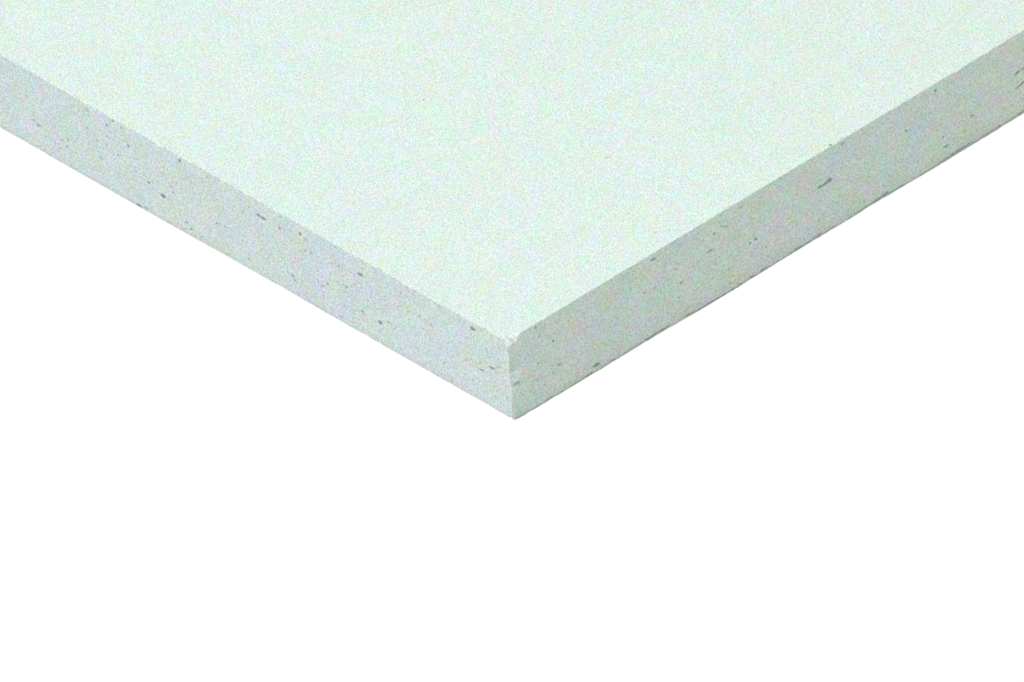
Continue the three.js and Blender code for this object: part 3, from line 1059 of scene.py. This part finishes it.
def make_floor():
    """A pale floor that looks white where it is lit and keeps the sheet's soft shadow."""
    half = FLOOR_SIDE / 2 / MM
    drop = FLOOR_DROP / MM
    corners = [(-half, -half, -drop), (half, -half, -drop), (half, half, -drop), (-half, half, -drop)]
    material, tree, shader = new_material("floor")
    shader.inputs["Base Color"].default_value = (*(FLOOR_REFLECTANCE,) * 3, 1)
    shader.inputs["Roughness"].default_value = 1.0
    shader.inputs["Specular IOR Level"].default_value = 0.0
    shader.inputs["Emission Color"].default_value = (*WHITE, 1)
    glow = put(tree, "ShaderNodeMath", {0: seen_directly(tree), 1: FLOOR_GLOW}, operation="MULTIPLY")
    tree.links.new(glow.outputs[0], shader.inputs["Emission Strength"])
    floor = make_piece("floor", corners, [(0, 1, 2, 3)], (material,), [0])


def make_camera():
    """A long lens, turned so that the near corner falls where it does in the picture."""
    azimuth, elevation, roll = (math.radians(a) for a in (VIEW_AZIMUTH, VIEW_ELEVATION, VIEW_ROLL))
    back = Vector((
        math.sin(azimuth) * math.cos(elevation),
        -math.cos(azimuth) * math.cos(elevation),
        math.sin(elevation),
    ))
    level_right = Vector((math.cos(azimuth), math.sin(azimuth), 0))
    level_up = back.cross(level_right)
    right = level_right * math.cos(roll) + level_up * math.sin(roll)
    up = level_up * math.cos(roll) - level_right * math.sin(roll)

    pixels_per_unit = IMAGE_WIDTH / 2 / math.tan(math.radians(FIELD_OF_VIEW) / 2)
    across = (CORNER_PIXEL[0] - IMAGE_WIDTH / 2) / pixels_per_unit
    down = (CORNER_PIXEL[1] - IMAGE_HEIGHT / 2) / pixels_per_unit
    place = BOARD_LOW + CAMERA_DISTANCE * (back - right * across + up * down)

    lens = bpy.data.cameras.new("camera")
    lens.sensor_fit = "HORIZONTAL"
    lens.angle = math.radians(FIELD_OF_VIEW)
    lens.clip_start, lens.clip_end = CAMERA_CLIP
    camera = bpy.data.objects.new("camera", lens)
    turn = Matrix((right, up, back)).transposed().to_4x4()
    camera.matrix_world = Matrix.Translation(place * MM) @ turn
    bpy.context.scene.collection.objects.link(camera)
    bpy.context.scene.camera = camera


# ---------------------------------------------------------------- the scene

gypsum = (
    gypsum_material("gypsum_face", GYPSUM, **FACE_TEXTURE),
    gypsum_material("gypsum_side", SIDE_GYPSUM, **SIDE_TEXTURE, low_shade=SIDE_LOW_SHADE, corner_light_shade=SIDE_CORNER_HIGHLIGHT),
    gypsum_material("gypsum_end", END_GYPSUM, **END_TEXTURE, low_shade=END_LOW_SHADE, corner_light_shade=END_CORNER_SHADE),
    # A darker copy of the end's gypsum, painted shade for the ends' front arrises, with the side's painted
    # highlight.
    gypsum_material("gypsum_arris_painted_shade", SHADED_ARRIS_GYPSUM, **END_TEXTURE, corner_light_shade=SIDE_CORNER_HIGHLIGHT),
)
fleck_tones = [fleck_material(f"paper_fleck_{word}", share) for word, share in FLECK_TONES]
# Tones of the dark flakes that paint the shade under the back arrises.
shade_flake_tones = [fleck_material(f"painted_shade_flakes_{word}", share) for word, share in SHADE_FLAKE_TONES]

sheet = build_sheet(*gypsum)
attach(sheet, "root")
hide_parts("board")

rng = random.Random(SEED)
for name, rows, tones in (
    ("edge_flecks", edge_fleck_rows(rng), fleck_tones),
    ("face_flecks", face_fleck_rows(rng), fleck_tones),
    # Dark flakes along the back arrises: painted shade for the shade line under them.
    ("painted_shade_flakes", shade_flake_rows(rng), shade_flake_tones),
):
    piece = build_flecks(name, rows, tones, rng)
    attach(piece, "root")

make_world()
make_lamp("key", KEY_LEVEL, WHITE, KEY_ANGLE)
make_lamp("fill", FILL_LEVEL, FILL_COLOUR, FILL_ANGLE)
make_floor()
make_camera()
bpy.context.scene.view_settings.view_transform = "Standard"
